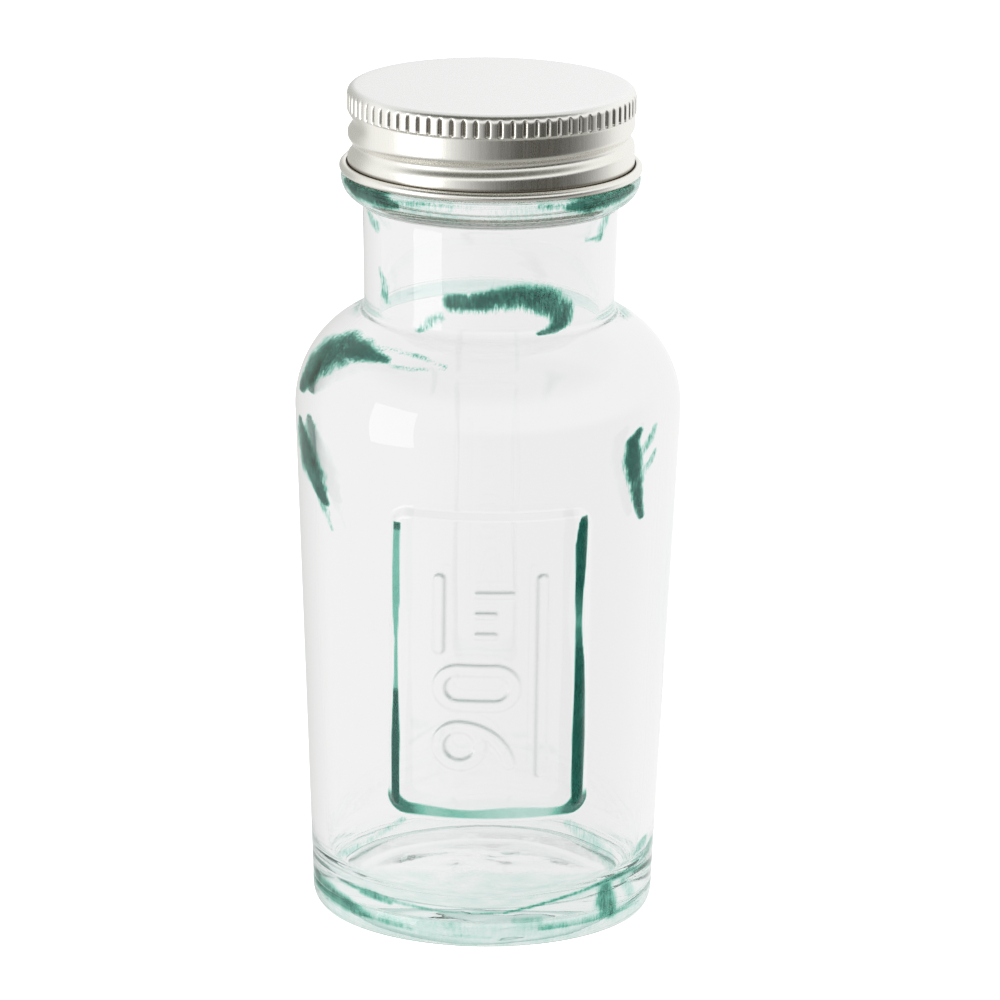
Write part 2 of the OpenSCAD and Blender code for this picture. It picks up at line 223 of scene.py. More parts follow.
def marks_distance(x, z):
    """Distance to the nearest edge of the figures, bars and ticks, negative inside them."""
    top = PANEL_Z + PANEL_H / 2 - BAR_DROP
    left = -BAR_X - BAR_W / 2
    nought_z = top - SHORT_BAR - FIGURE_GAP - NOUGHT_W / 2
    bowl_z = nought_z - NOUGHT_W / 2 - FIGURE_GAP - BOWL_R
    parts = [
        ring_distance(x - left - FIGURE_H / 2, z - nought_z, FIGURE_H, NOUGHT_W, STROKE_W),
        ring_distance(x - left - BOWL_R, z - bowl_z, 2 * BOWL_R, 2 * BOWL_R, STROKE_W),
        tail_distance(x - left - BOWL_R, z - bowl_z),
        slab_distance(x - BAR_X, z - top + LONG_BAR / 2, BAR_W, LONG_BAR, BAR_W / 2),
        slab_distance(x + BAR_X, z - top + SHORT_BAR / 2, BAR_W, SHORT_BAR, BAR_W / 2),
    ]
    for i, share in enumerate(TICK_SHARES):
        length, drop = TICK_L * share, (i + 1) * TICK_STEP
        along = x - left - TICK_IN - length / 2
        parts.append(slab_distance(along, z - top + drop, length, TICK_W, TICK_W / 2))
    return np.minimum.reduce(parts)


# How the panel's edge rises: its foot lies this far outside the outline, its face begins this far inside
PANEL_FOOT, FACE_LEFT, FACE_RIGHT, FACE_TOP, FACE_LOW = 0.45, 1.6, 2.3, 1.6, 2.9
MARK_FOOT, MARK_FACE = 0.2, 0.6

# Height over which the rise at the sides turns into the one at the top or the bottom
FACE_BLEND = 6.0

# Lengths in millimetres and angles in degrees closer than this count as the same
NEAR = 0.01


def panel_relief(r, z, theta):
    """How far the glass stands out at a place on the front."""
    a = theta - math.radians(-90 + PANEL_TURN)
    x, front = r * np.sin(a), np.cos(a) > 0
    edge = slab_distance(x, z - PANEL_Z, PANEL_W, PANEL_H, PANEL_CORNER)
    lows = smooth((PANEL_Z - PANEL_H / 2 + FACE_BLEND - z) / FACE_BLEND)
    tops = smooth((z - PANEL_Z - PANEL_H / 2 + FACE_BLEND) / FACE_BLEND)
    side = np.where(x < 0, FACE_LEFT, FACE_RIGHT)
    face = side + (FACE_LOW - side) * lows + (FACE_TOP - side) * tops
    rise = PANEL_OUT * smooth((PANEL_FOOT - edge) / (PANEL_FOOT + face))
    marks = MARK_OUT * smooth((MARK_FOOT - marks_distance(x, z)) / (MARK_FOOT + MARK_FACE))
    return np.where(front, rise + marks, 0)


# Painted refraction shade on the outside, as dark green streaks: angle, height and half width at points along
# each, then its depth
REFRACTION_SHADE_OUT = (
    # Shoulder and the left edge under it
    (((193.5, 92.1, 0.5), (195.5, 94.6, 1.0), (197.5, 96.9, 1.5), (202.5, 99.3, 1.9), (208.5, 101, 1.7),
      (217.5, 101.1, 1.4), (226, 100.9, 0.8), (232.5, 100.7, 0.5)), 1.0),
    (((221.5, 102, 0.4), (233, 102.2, 0.3), (244.5, 101.9, 0.3), (255, 100.9, 0.3)), 0.40),
    (((232, 100.2, 0.3), (242.5, 100.1, 0.3), (255, 100.6, 0.2)), 0.34),
    (((195, 87.3, 0.3), (197, 84.7, 0.9), (200, 82.3, 1.6), (203.5, 79.6, 1.7), (208, 77.3, 1.2),
      (212.5, 74.9, 0.6)), 0.95),
    (((208.5, 76.4, 0.8), (213, 73.2, 0.7), (216, 70.5, 0.3)), 0.32),
    # Right of the body
    (((321, 89, 0.5), (318, 87.2, 1.0), (318, 84.1, 1.4), (320, 80.4, 1.2), (321.5, 76.7, 0.8),
      (323.5, 73.7, 0.5)), 1.0),
    (((321.5, 85.1, 0.8), (326, 86.7, 0.7), (329, 88.9, 0.4)), 0.36),
    (((322, 81, 0.8), (327, 82.7, 0.5), (329.5, 84.5, 0.3)), 0.36),
    # Neck and bead
    (((199.5, 122.5, 0.5), (205.5, 121.4, 0.8), (208.5, 120.4, 0.5)), 0.42),
    (((333.5, 122.9, 0.7), (331, 121.2, 0.8), (328.5, 119.6, 0.5), (318, 120.2, 0.3)), 0.42),
    (((210, 114, 0.2), (215, 111.4, 0.7), (214.5, 109.4, 0.9), (217.5, 108.7, 0.6)), 0.42),
    (((196, 128, 0.7), (209, 127.4, 1.4), (221, 127.1, 1.5), (230.5, 126.7, 0.8)), 0.95),
    (((230.5, 127.1, 0.7), (246.5, 127.8, 0.4), (258.5, 127.8, 0.3)), 0.30),
    (((339, 127.7, 0.7), (325, 127.4, 1.2), (311.5, 127.2, 1.4), (301.5, 127.3, 0.8)), 0.90),
    (((301.5, 127.4, 0.7), (289, 127.7, 0.5)), 0.40),
    # Foot of the wall
    (((243.5, 22.2, 0.5), (232.5, 17.9, 0.5), (223, 14.8, 0.5), (213, 11.7, 0.7)), 0.26),
    (((298.5, 21.7, 0.8), (307, 18.1, 1.2), (314.5, 14.7, 1.4), (318, 12, 1.0)), 0.24),
    (((348, 12.5, 0.5), (344, 11.4, 1.0), (336, 10.9, 1.0)), 0.5),
    (((351.5, 8, 0.6), (327.5, 9.8, 0.6), (315, 9.6, 0.4), (298.5, 8.4, 0.3), (277.5, 6.5, 0.2)), 0.62),
    (((277.5, 6.5, 0.2), (258, 6.4, 0.2), (243.5, 6.9, 0.4), (230, 7.7, 0.5), (214.5, 7.8, 0.3)), 0.45),
    # Heel
    (((195.5, 5.2, 1.3), (205.5, 4.6, 1.7), (217, 4.0, 1.4), (224, 3.6, 1.0), (229, 3.4, 0.6)), 0.68),
    (((226, 3.5, 0.8), (235, 3.1, 0.7), (246, 2.6, 0.4)), 0.40),
    (((226, 7.4, 0.7), (233, 7.1, 0.7), (238, 6.7, 0.5)), 0.50),
    (((315, 8.4, 1.3), (316, 6, 1.7), (319, 3.6, 1.3)), 0.56),
    (((325.5, 8.4, 0.8), (330, 5.6, 1.0)), 0.35),
    (((289.5, 3.2, 0.3), (307, 3.3, 0.4), (327, 3.3, 0.5), (341.5, 3.8, 0.5)), 0.60),
    (((251, 3.8, 0.7), (262.5, 4.2, 0.7)), 0.30),
    (((281, 4.9, 0.7), (290, 4.8, 0.7)), 0.32),
    (((261, 2.3, 0.3), (273, 2, 0.3)), 0.34),
)

# The same painted refraction shade on the inside of the neck's front: a dark patch and a pale one beside it
REFRACTION_SHADE_IN = (
    (((251, 110.1, 1.2), (265, 110.2, 1.4), (273, 110.7, 1.7), (280, 111, 1.8), (288, 111.1, 2.0),
      (295, 110.6, 2.1), (302, 109.7, 2.0), (307, 108.4, 1.8), (308, 106.9, 1.5), (306, 105.7, 1.2),
      (303, 104.9, 1.0), (299, 104.5, 0.8), (296, 104.2, 0.6)), 0.92),
    (((245, 107.2, 0.8), (240, 106.1, 1.0), (234, 103.9, 0.7)), 0.36),
)

# Half widths at which the painted shade streaks have faded, and the least share to which the jar's edge
# narrows each
STREAK_END, STREAK_NARROW = 1.5, 0.25

# Depths of the even green of the thick base and of the bead, and how much and how fast the base pales behind
BASE_WASH, BEAD_WASH, BACK_PALER, BACK_TURN = 0.20, 0.165, 0.48, 2.0

# How far the base's green reaches over the seam, the bead's over its top, and the height of the base's fade
WASH_OVER_SEAM, WASH_OVER_BEAD, WASH_FADE = 2.5, 0.5, 3.0


def refraction_shade_field(r, z, theta, streaks):
    """Depth of painted refraction shade in the streaks: full along a middle and 0 beyond an edge. Widths are
    as seen from the front.
    """
    deg = np.degrees(theta) % 360
    out = np.zeros(np.broadcast(z, deg).shape)
    for points, depth in streaks:
        for (a0, z0, w0), (a1, z1, w1) in zip(points, points[1:]):
            scale = np.radians(1) * r * max(STREAK_NARROW, abs(math.sin(math.radians((a0 + a1) / 2))))
            px, pz = (deg - a0) * scale, z - z0
            dx, dz = (a1 - a0) * scale, z1 - z0
            t = np.clip((px * dx + pz * dz) / (dx * dx + dz * dz), 0, 1)
            gap = np.hypot(px - t * dx, pz - t * dz) / (w0 + (w1 - w0) * t)
            out = np.maximum(out, depth * np.clip(STREAK_END - gap, 0, 1))
    return out


# Edges of the painted refraction shade in deep bands beside the panel's face: heights, then both sides of each
# band across the front
BAND_AT = (27.2, 37.0, 45.3, 50.7, 54.5, 58.4, 62.2, 67.1, 71.5, 75.2, 77.0)
RIGHT_IN = (14.05, 14.0, 14.2, 14.25, 14.3, 14.2, 14.15, 14.1, 14.1, 14.6, 15.3)
RIGHT_OUT = (16.0, 16.2, 16.1, 15.9, 15.5, 15.4, 15.45, 15.85, 16.05, 16.1, 15.9)
LEFT_OUT = (-16.2, -16.3, -16.1, -16.0, -16.0, -16.3, -16.4, -16.45, -16.4, -16.3, -16.1)
LEFT_IN = (-14.9, -14.95, -15.2, -15.4, -15.4, -15.3, -15.1, -15.15, -15.2, -15.2, -15.5)
BAND_LOW, LEFT_HIGH, RIGHT_HIGH = 23.15, 75.4, 76.5

# Lengths over which the bands' edges fade: the left one's, the right one's and their tops
LEFT_SOFT, RIGHT_SOFT, TOP_SOFT = 0.25, 0.3, 0.5

# Depth of the left band: pale, deeper below LEFT_TURN_Z, and a little deeper again at its top
LEFT_PALE, LEFT_DEEPER, LEFT_TURN_Z, LEFT_TURN_H, LEFT_TOP, LEFT_TOP_Z = 0.53, 0.47, 46.5, 2.0, 0.4, 73.4

# By how much the right band is paler at one height, and over what height
RIGHT_PALER, RIGHT_PALE_Z, RIGHT_PALE_H = 0.36, 58.0, 3.6

# The band under the face: its height, how its upper edge swings, and its depth with a swing of its own
BAND_UNDER, UNDER_SWING, UNDER_SWING_K = 2.5, 0.25, 0.4
UNDER_DEPTH, DEPTH_SWING, DEPTH_SWING_K = 0.41, 0.05, 0.25

# How much deeper it is at the corners, and where across the front that starts and over what width
CORNER_DEEPER, CORNER_X, CORNER_BLEND = 0.40, 9.0, 6.0

# Start and length of its fades outward, inward and upward, and of the side bands' fade at their lower ends
UNDER_OUT, UNDER_IN, UNDER_UP, SIDES_LOW = (0.05, 0.4), (0.3, 0.6), (5.5, 3.0), (0.8, 1.6)

# The panel's face between the bands, as its lower corners show it
FACE_X0, FACE_X1, FACE_TALL, FACE_CORNER = -15.0, 14.2, 40.0, 2.4


def panel_edge_shade(x, across, z):
    """Depth of painted refraction shade along the panel's steep edges: light at the upper left, deepest at the
    right.
    """
    def between(inner, outer, soft):
        low, high = np.interp(z, BAND_AT, inner), np.interp(z, BAND_AT, outer)
        return smooth((high - across) / soft + 0.5) * smooth((across - low) / soft + 0.5)

    depth = LEFT_PALE + LEFT_DEEPER * smooth((LEFT_TURN_Z - z) / LEFT_TURN_H)
    depth = depth + LEFT_TOP * smooth(z - LEFT_TOP_Z)
    left = between(LEFT_OUT, LEFT_IN, LEFT_SOFT) * depth
    depth = 1 - RIGHT_PALER * np.exp(-((z - RIGHT_PALE_Z) / RIGHT_PALE_H) ** 2)
    right = between(RIGHT_IN, RIGHT_OUT, RIGHT_SOFT) * depth
    left, right = left * smooth((LEFT_HIGH - z) / TOP_SOFT), right * smooth((RIGHT_HIGH - z) / TOP_SOFT)
    sides = np.maximum(left, right) * smooth((z - BAND_LOW - SIDES_LOW[0]) / SIDES_LOW[1])
    edge = -slab_distance(x, z - PANEL_Z, PANEL_W, PANEL_H, PANEL_CORNER)
    low = BAND_LOW + BAND_UNDER + UNDER_SWING * np.sin(x * UNDER_SWING_K)
    inner = slab_distance(across - (FACE_X0 + FACE_X1) / 2, z - low - FACE_TALL / 2,
                          FACE_X1 - FACE_X0, FACE_TALL, FACE_CORNER)
    under = smooth((edge + UNDER_OUT[0]) / UNDER_OUT[1]) * smooth((inner + UNDER_IN[0]) / UNDER_IN[1])
    under = under * smooth((BAND_LOW + UNDER_UP[0] - z) / UNDER_UP[1])
    corner = smooth((np.abs(x) - CORNER_X) / CORNER_BLEND)
    under = under * (UNDER_DEPTH - DEPTH_SWING * np.sin(x * DEPTH_SWING_K) + CORNER_DEEPER * corner)
    return np.maximum(sides, under)


# Width of the painted shade on the marks' slopes, the step that finds their slopes, and its depth: least,
# upward and inward
SLOPE_SHADE_W, SLOPE_STEP, SLOPE_SHADE_LEAST, SLOPE_SHADE_UP, SLOPE_SHADE_IN = 0.25, 0.1, 0.12, 0.88, 0.5


def paint_glass(r, z, theta):
    """Painted refraction shade, as values at the mesh's points: the green streaks, the panel's deep edges and
    shade on the marks' slopes.
    """
    row = np.arange(1, len(r) + 1)[:, None]
    is_out = row < OUT_ROWS
    a = theta - math.radians(-90 + PANEL_TURN)
    x, front = r * np.sin(a), (np.cos(a) > 0) & is_out & (z > HEEL_H) & (z < BODY_Z)
    across = (r + panel_relief(r, z, theta)) * np.sin(a)
    gap, step = marks_distance(x, z), SLOPE_STEP
    up = (marks_distance(x, z + step) - marks_distance(x, z - step)) / (2 * step)
    inward = (marks_distance(x + step, z) - marks_distance(x - step, z)) / (2 * step) * -np.sign(x)
    # Painted shade on the marks' slopes, deeper where they face up and, on the bars, inward
    slope = np.exp(-((gap + (MARK_FACE - MARK_FOOT) / 2) / SLOPE_SHADE_W) ** 2)
    on_bar = np.abs(x) > BAR_X - BAR_W
    outline = slope * (SLOPE_SHADE_LEAST + SLOPE_SHADE_UP * smooth(up) + SLOPE_SHADE_IN * smooth(inward) * on_bar)
    outer, inner = (refraction_shade_field(r, z, theta, table) for table in (REFRACTION_SHADE_OUT, REFRACTION_SHADE_IN))
    wash = BASE_WASH * smooth((SEAM_Z + WASH_OVER_SEAM - z) / WASH_FADE)
    wash = wash * (1 - BACK_PALER * smooth(0.5 + BACK_TURN * np.sin(theta)))
    wash = wash + BEAD_WASH * smooth(z - BEAD_Z) * smooth(BEAD_TOP + WASH_OVER_BEAD - z)
    # The streaks' painted refraction shade, taken together with the even green over the base and the bead
    streaks = np.maximum(np.where(is_out, outer, inner), np.where(is_out, wash, 0))
    # The band holds painted refraction shade on the panel's steep edges
    return {"streak": streaks, "band": np.where(front, panel_edge_shade(x, across, z), 0),
            "outline": np.where(front, outline, 0)}


# Waves of the wall's inside: lobes round the jar, turn for each mm of height, phase and size
WALL_WAVES = ((2, 0.05, 0.4, 0.06), (3, -0.08, 2.1, 0.045), (5, 0.11, 4.0, 0.025), (7, -0.17, 1.2, 0.015),
              (0, 0.16, 0.9, 0.03))

# Waves of the base: lobes, turn for each mm outward and phase
BASE_WAVES = ((2, 0.16, 0.3), (3, -0.24, 1.9), (5, 0.22, 4.2), (7, -0.3, 2.6))

# What each wave of the base is divided by, more for more lobes, then their sum, and a seed's share of the turn
WAVE_PART, LOBE_PART, WAVE_SUM, SEED_TURN = 2.2, 0.35, 1.1, 0.2


def glass_waves(theta, z):
    """Slow waves of the inside of the wall, left as the glass was blown against the mould."""
    out = np.zeros(np.broadcast(theta, z).shape)
    for lobes, turn, phase, size in WALL_WAVES:
        out = out + size * np.sin(lobes * theta + turn * z + phase)
    return out


def base_waves(theta, r, seed):
    """Uneven swells of the thick base, from -1 to 1."""
    out = 0
    for lobes, turn, phase in BASE_WAVES:
        angle = lobes * theta + turn * r * (1 + SEED_TURN * seed) + phase * seed
        out = out + np.sin(angle) / (WAVE_PART + LOBE_PART * lobes)
    return out / WAVE_SUM


# Columns of the glass: close together over the panel, wider at its sides and widest at the back
FINE_DEG, FINE_STEP, SIDE_DEG, SIDE_STEP, WIDE_STEP = 37.0, 0.45, 92.0, 0.7, 1.5
fine = np.arange(-FINE_DEG, FINE_DEG + NEAR, FINE_STEP)
side = np.arange(FINE_DEG, SIDE_DEG, SIDE_STEP)[1:]
wide = np.linspace(SIDE_DEG, 360 - SIDE_DEG, int((360 - 2 * SIDE_DEG) / WIDE_STEP))
glass_columns = np.radians(np.concatenate([fine, side, wide, 360 - side[::-1]]) - 90 + PANEL_TURN)

# The wall thins toward the neck: how far the inside rises there, where that starts and over what width
THROAT_LIFT, THIN_R, THIN_W = 0.4, 25.0, 6.0

# The bore's slow taper: how far over the throat it starts, and its height
TAPER_START, TAPER_H = 4.0, 18.0

# Rounds of the creases under the bead, at the foot of the neck and on the ledge over the bead
BEAD_CREASE, NECK_CREASE, LEDGE_CREASE = 0.7, 0.9, 0.25

# Rows in each round of the outside and of the inside, in the order in which they are laid
HOLLOW_ROWS, HEEL_ROWS, SHOULDER_ROWS, BEAD_ROWS, EDGE_ROWS, LIP_ROWS = 14, 14, 54, 16, 4, 6
THROAT_ROWS, INNER_ROWS, CORNER_ROWS, FLOOR_ROWS = 10, 40, 16, 12

# Steps between the rows of the straight parts, and how far the panel's close rows reach past it
FOOT_STEP, LOW_STEP, PANEL_STEP, HIGH_STEP, NECK_STEP = 0.7, 0.35, 0.27, 0.5, 0.6
LEDGE_STEP, FINISH_STEP, LIP_STEP, BORE_STEP, WALL_STEP = 0.6, 0.3, 0.7, 0.8, 1.0
PANEL_PAST = 1.5

# Rows of the glass, from the middle of the hollow in the base round to the middle of the floor
outside = swell(HOLLOW_R, PUSH_UP, 0, HOLLOW_ROWS)
outside += line(outside[-1], (FOOT_R, 0), FOOT_STEP)
outside += arc(FOOT_R, HEEL_H, HEEL_IN, HEEL_H, -90, 0, HEEL_ROWS)
outside += [(wall_r(SEAM_Z), SEAM_Z), (wall_r(SEAM_Z) - SEAM_D, SEAM_Z + SEAM_D),
            (wall_r(SEAM_Z + 2 * SEAM_D), SEAM_Z + 2 * SEAM_D)]
low, high = PANEL_Z - PANEL_H / 2 - PANEL_PAST, PANEL_Z + PANEL_H / 2 + PANEL_PAST
outside += line(outside[-1], (wall_r(low), low), LOW_STEP)
outside += [(wall_r(low), low)] + line((wall_r(low), low), (wall_r(high), high), PANEL_STEP)
outside += [(wall_r(high), high)]
shoulder = arc(SHOULDER_R0, BODY_Z, SHOULDER_ROUND, SHOULDER_ROUND, -math.degrees(TAPER), NECK_DEG,
               SHOULDER_ROWS)
outside += line(outside[-1], shoulder[0], HIGH_STEP)
outside += shoulder
corner = len(outside) - 1
bead = arc(BEAD_R - BEAD_ROUND, BEAD_Z + BEAD_ROUND, BEAD_ROUND, BEAD_ROUND,
           -math.degrees(math.acos((NECK_TOP_R - BEAD_R + BEAD_ROUND) / BEAD_ROUND)), 0, BEAD_ROWS)
outside += line(outside[-1], bead[0], NECK_STEP)
under_bead = len(outside)
outside = filleted(filleted(outside + bead, under_bead, BEAD_CREASE), corner, NECK_CREASE)
outside += arc(BEAD_R - BEAD_EDGE, BEAD_TOP - BEAD_EDGE, BEAD_EDGE, BEAD_EDGE, 0, 90, EDGE_ROWS)
outside += line(outside[-1], (FINISH_R, BEAD_TOP), LEDGE_STEP)
outside += [(FINISH_R + LEDGE_CREASE, BEAD_TOP), (FINISH_R, BEAD_TOP + LEDGE_CREASE)]
lip = arc(FINISH_R - LIP_ROUND, RIM_Z - LIP_ROUND, LIP_ROUND, LIP_ROUND, 0, 90, LIP_ROWS)
outside += line(outside[-1], lip[0], FINISH_STEP) + lip
lip_in = arc(MOUTH_R + LIP_ROUND, RIM_Z - LIP_ROUND, LIP_ROUND, LIP_ROUND, 90, 180, LIP_ROWS)
throat = arc(THROAT_R, THROAT_Z, NECK_ROUND, NECK_ROUND, 180, 180 + THROAT_DEG, THROAT_ROWS)
inner_shoulder = arc(SHOULDER_R0, BODY_Z, INNER_ROUND, INNER_ROUND, THROAT_DEG, -math.degrees(TAPER),
                     INNER_ROWS)
throat, inner_shoulder = ([(r, z + THROAT_LIFT * float(smooth((THIN_R - r) / THIN_W))) for r, z in rows]
                          for rows in (throat, inner_shoulder))
floor_round = arc(CORNER_R, CORNER_Z, FLOOR_ROUND, FLOOR_ROUND, -math.degrees(TAPER), -90, CORNER_ROWS)
inside = line(outside[-1], lip_in[0], LIP_STEP) + lip_in
for _, z in line(lip_in[-1], throat[0], BORE_STEP):
    inside.append((BORE_R + (MOUTH_R - BORE_R) * float(smooth((z - THROAT_Z - TAPER_START) / TAPER_H)), z))
inside += throat + inner_shoulder[1:]
inside += line(inner_shoulder[-1], floor_round[0], WALL_STEP) + floor_round
inside += swell(CORNER_R, FLOOR_Z, FLOOR_EDGE, FLOOR_ROWS)[::-1][1:]
glass_rows = outside + inside
OUT_ROWS = len(outside) - 1

# Start and length of the fade of the wall's waves at the floor, and the length of that at the throat
WALL_FADE, THROAT_FADE = (4.0, 12.0), 10.0

# Waves of the base: size, and the lengths over which they fade at their outer and at their inner end
FLOOR_OUT, FLOOR_UP = (0.30, 3.0, 8.0), (0.13, 4.0, 6.0)
HOLLOW_UP, HEEL_OUT = (0.06, 4.0, 6.0), (0.10, 1.0, 2.0)


def bend_glass(r, z, theta):
    """The glass's panel, marks, thread and waves."""
    row = np.arange(1, r.shape[0] + 1)[:, None]
    is_out = row < OUT_ROWS
    body = is_out & (z > HEEL_H) & (z < BODY_Z)
    finish = is_out & (z > BEAD_TOP) & (z < RIM_Z - LIP_ROUND)
    lift = np.where(body, panel_relief(r, z, theta), 0)
    thread = turns(z, theta, RIDGE_Z, GROOVE_START, THREAD_TURNS, THREAD_W)
    lift = lift + np.where(finish, THREAD_OUT * thread, 0)
    fade = smooth((z - CORNER_Z + WALL_FADE[0]) / WALL_FADE[1]) * smooth((THROAT_Z - z) / THROAT_FADE)
    lift = lift + np.where(~is_out, glass_waves(theta, z) * fade, 0)
    low = (~is_out) & (z < CORNER_Z)
    hollow = is_out & (z < PUSH_UP + NEAR) & (r < HOLLOW_R) & (z > 0)
    heel = is_out & (z > 0) & (z < SEAM_Z) & (r > FOOT_R)

    def waves(where, across, sizes, to_end, seed):
        size, outer, inner = sizes
        height = size * base_waves(theta, across, seed) * smooth(to_end / outer) * smooth(across / inner)
        return np.where(where, height, 0)

    lift = lift + waves(low, r, FLOOR_OUT, CORNER_Z - z, seed=1)
    rise = waves(low, r, FLOOR_UP, CORNER_Z - z, seed=2)
    rise = rise + waves(hollow, r, HOLLOW_UP, HOLLOW_R - r, seed=3)
    lift = lift + waves(heel, z, HEEL_OUT, SEAM_Z - z, seed=4)
    return r + lift, np.maximum(z + rise, 0), theta + 0 * r


# Rows of the lid's top, its round edge and the two faces of its curl, and columns for each knurl
TOP_ROWS, ROUND_ROWS, CURL_ROWS_IN, CURL_ROWS_OUT, KNURL_COLUMNS = 16, 8, 22, 30, 12

# Steps between the rows of the knurls and of the skirt, and the drop of the knurls' lower edge half way in
KNURL_STEP, SKIRT_STEP, KNURL_DROP = 0.25, 0.28, 0.06


def lid_line(inset):
    """Rows of the sheet's outer face from the middle of its top to the curl, or of its inner face."""
    round_r = LID_ROUND - inset
    rows = [(EDGE_R * i / TOP_ROWS, LID_Z - inset) for i in range(TOP_ROWS)]
    rows += arc(EDGE_R, LID_Z - LID_ROUND, round_r, round_r, 90, 0, ROUND_ROWS)
    rows += line(rows[-1], (KNURL_R - inset, KNURL_Z), KNURL_STEP) + [(KNURL_R - inset, KNURL_Z)]
    rows += [(SKIRT_R + KNURL_OUT / 2 - inset, KNURL_Z - KNURL_DROP),
             (SKIRT_R - inset, KNURL_Z - KNURL_OUT)]
    rows += line(rows[-1], (SKIRT_R - inset, CURL_Z), SKIRT_STEP)
    return rows


# Rows of the lid's sheet, from the middle of its top outside round the curl to the middle inside
lid_rows = lid_line(0)
lid_rows += arc(CURL_MID, CURL_Z, CURL_R - SHEET_T, CURL_R - SHEET_T, 180, CURL_END, CURL_ROWS_IN)
lid_rows += arc(CURL_MID, CURL_Z, CURL_R, CURL_R, CURL_END, 180, CURL_ROWS_OUT)
lid_rows += lid_line(SHEET_T)[::-1]
lid_columns = np.linspace(0, 2 * math.pi, KNURL_COUNT * KNURL_COLUMNS + 1)[:-1]

# Where the knurls fade, as a distance from the lid's top and from their lower edge, each with its length
KNURL_TOP, KNURL_FOOT = (0.75, 0.7), (0.15, 0.45)

# Width of the gap between two knurls, and how round a crest is
KNURL_GAP, KNURL_CROWN = 0.42, 0.2

# Width of the shade between two knurls, then the shade behind the curl: lower fade, height and upper fade
SHADE_W, SLOT_FADE, SLOT_H, SLOT_END = 0.31, 0.4, 1.5, 0.7


def knurls(r, z, theta):
    """Place across a knurl, 1 on its crest and 0 between two, and the share of a knurl's full depth."""
    lobe = 1 - np.abs((theta * KNURL_COUNT / (2 * math.pi)) % 1 - 0.5) * 2
    band = smooth((LID_Z - KNURL_TOP[0] - z) / KNURL_TOP[1])
    band = band * smooth((z - KNURL_Z + KNURL_FOOT[0]) / KNURL_FOOT[1])
    return lobe, np.where(r > EDGE_R, band, 0)


def paint_lid(r, z, theta):
    """Where the sheet lies in shade: between the knurls and behind the curl."""
    lobe, band = knurls(r, z, theta)
    slot = smooth((z - CURL_Z) / SLOT_FADE) * smooth((CURL_Z + SLOT_H - z) / SLOT_END)
    return {"recess": np.maximum(smooth(1 - lobe / SHADE_W) * band, slot * (np.abs(r - SKIRT_R) < NEAR))}


def bend_lid(r, z, theta):
    """The lid's knurls and its rolled thread, the same on both faces of the sheet."""
    groove = GROOVE_D * turns(z, theta, GROOVE_Z, GROOVE_START, GROOVE_TURNS, GROOVE_W)
    skirt = (r < SKIRT_R + NEAR) & (r > SKIRT_IN - NEAR) & (z < KNURL_Z) & (z > CURL_Z)
    groove = np.where(skirt, groove, 0)
    lobe, band = knurls(r, z, theta)
    cut = smooth(1 - lobe / KNURL_GAP) + KNURL_CROWN * (1 - lobe) ** 2
    return r - groove - KNURL_D * cut * band, z + 0 * theta, theta + 0 * r


# Colour that the glass lets through, and how fast it takes the rest, per metre
GLASS_DEEP, GLASS_DENSITY = (0.42, 0.86, 0.76, 1), 2.0

# Tints of painted refraction shade by depth in the streaks or a band, and of painted shade by depth on a
# mark's slopes
REFRACTION_SHADE_TINTS = ((0.10, (1, 1, 1)), (0.30, (0.42, 0.76, 0.66)), (0.48, (0.05, 0.38, 0.24)),
              (0.68, (0.004, 0.065, 0.038)), (1.0, (0.0002, 0.012, 0.007)))
MARK_SHADE_TINTS = ((0.0, (1, 1, 1)), (1.0, (0.24, 0.32, 0.29)))

# Ragged edges of the streaks: scale of the hairs, squeeze of z that draws them out, scale of the clumps
HAIR_SCALE, HAIR_SQUEEZE, CLUMP_SCALE = 3000, 0.22, 210

# Shares of the hairs and the clumps, how ragged the painted shade streaks turn with their depth and at most,
# and a band
HAIR_SHARE, CLUMP_SHARE, EDGE_GAIN, EDGE_MOST, BAND_EDGE = 1.5, 1.7, 2.2, 0.8, 0.12

# Heights in metres between which the base's calmer edges turn ragged, and how calm they are
CALM_FROM, CALM_TO, CALM = 0.008, 0.03, 0.45

# Ripples of the glass: scale, strength, and height in metres
RIPPLE_SCALE, RIPPLE_BUMP, RIPPLE_H = 260, 0.25, 0.00005

# Colours of the lid's side, its top and the painted shade between its knurls and behind its curl, and the
# height over which the first two meet
LID_SIDE, LID_TOP, LID_SHADE = (0.91, 0.895, 0.84), (0.93, 0.93, 0.925), (0.14, 0.115, 0.08)
LID_BLEND = 1.2

# Fine lines of the lid: scale, squeeze of z, roughness from one to the next, strength, and height in metres
LINE_SCALE, LINE_SQUEEZE, LINE_ROUGH, LINE_BUMP, LINE_H = 2600, 0.03, (0.20, 0.34), 0.12, 0.00004

# Foam of the liner: colours of a cell's middle and of its edge, then the cells' scale, strength and height
FOAM_MIDDLE, FOAM_EDGE = (0.90, 0.89, 0.86), (0.80, 0.79, 0.75)
CELL_SCALE, CELL_BUMP, CELL_H = 1800, 0.3, 0.00008


def material(name, **sockets):
    """A node material whose shader has these plain socket values."""
    m = bpy.data.materials.new(name)
    m.use_nodes = True
    shader = m.node_tree.nodes["Principled BSDF"]
    for key, value in sockets.items():
        shader.inputs[key.replace("_", " ")].default_value = value
    return m, m.node_tree, shader


def node(tree, kind, **sockets):
    """A new node of a kind, with these plain socket values."""
    made = tree.nodes.new(kind)
    for key, value in sockets.items():
        made.inputs[key.replace("_", " ")].default_value = value
    return made


def feed(tree, socket, value):
    """Gives a socket a number, a colour or another node's output."""
    if isinstance(value, (int, float)):
        socket.default_value = value
    elif isinstance(value, tuple):
        socket.default_value = (*value, 1)
    else:
        tree.links.new(value, socket)


